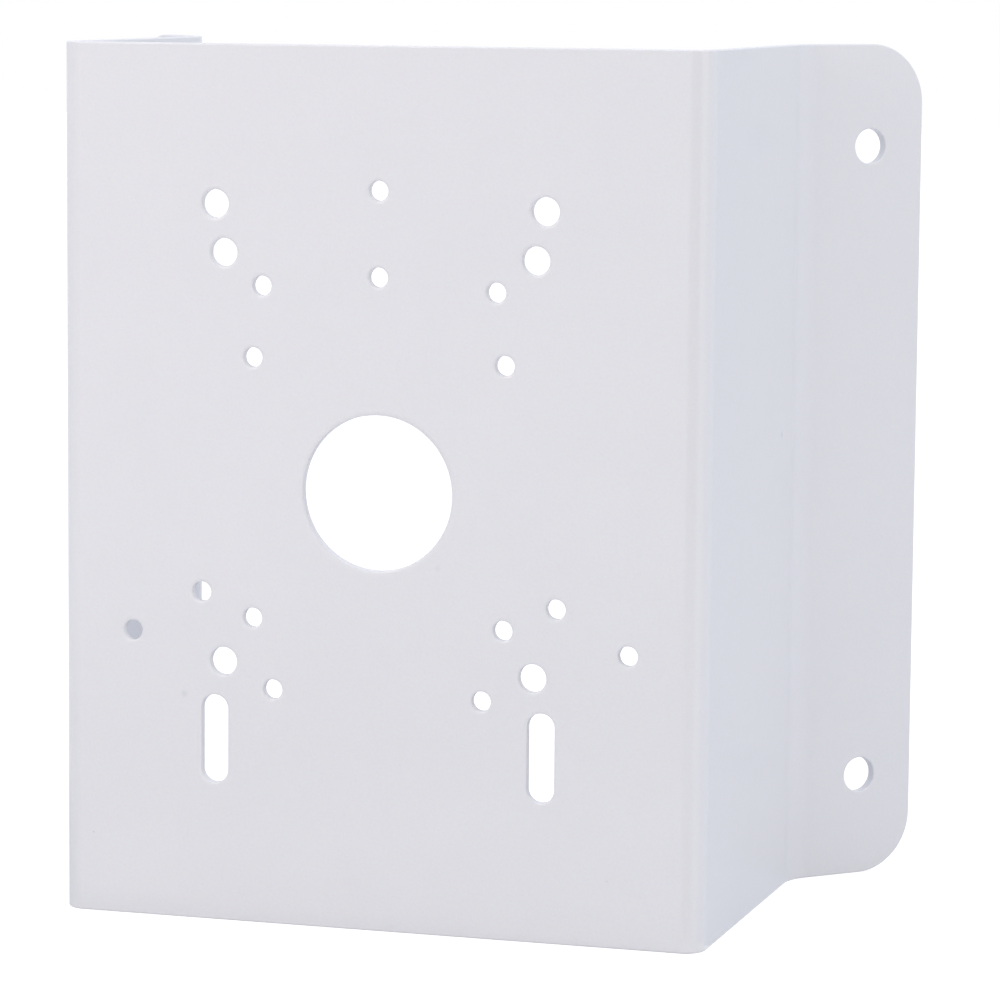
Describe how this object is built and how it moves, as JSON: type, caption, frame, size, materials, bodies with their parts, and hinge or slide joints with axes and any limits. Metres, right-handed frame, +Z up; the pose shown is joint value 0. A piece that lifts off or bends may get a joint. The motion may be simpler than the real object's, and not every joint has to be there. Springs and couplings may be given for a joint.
{
  "type": "camera corner mount bracket",
  "caption": "White folded sheet bracket that carries a camera in front of a building's outside corner, with a punched plate, two side walls and two slanted wall flanges.",
  "frame": {"origin": "centre of the cable hole, on the camera plate's outer face", "axes": "-Y out of the camera plate towards the camera, +Y back to the building's corner, +X along the plate, +Z up"},
  "size_m": [0.24, 0.1346, 0.24],
  "materials": {
    "white_powder_coat": "satin white powder coat with a fine texture, on folded steel sheet"
  },
  "bodies": {
    "root": {"corner_bracket": "white_powder_coat"}
  },
  "joints": []
}
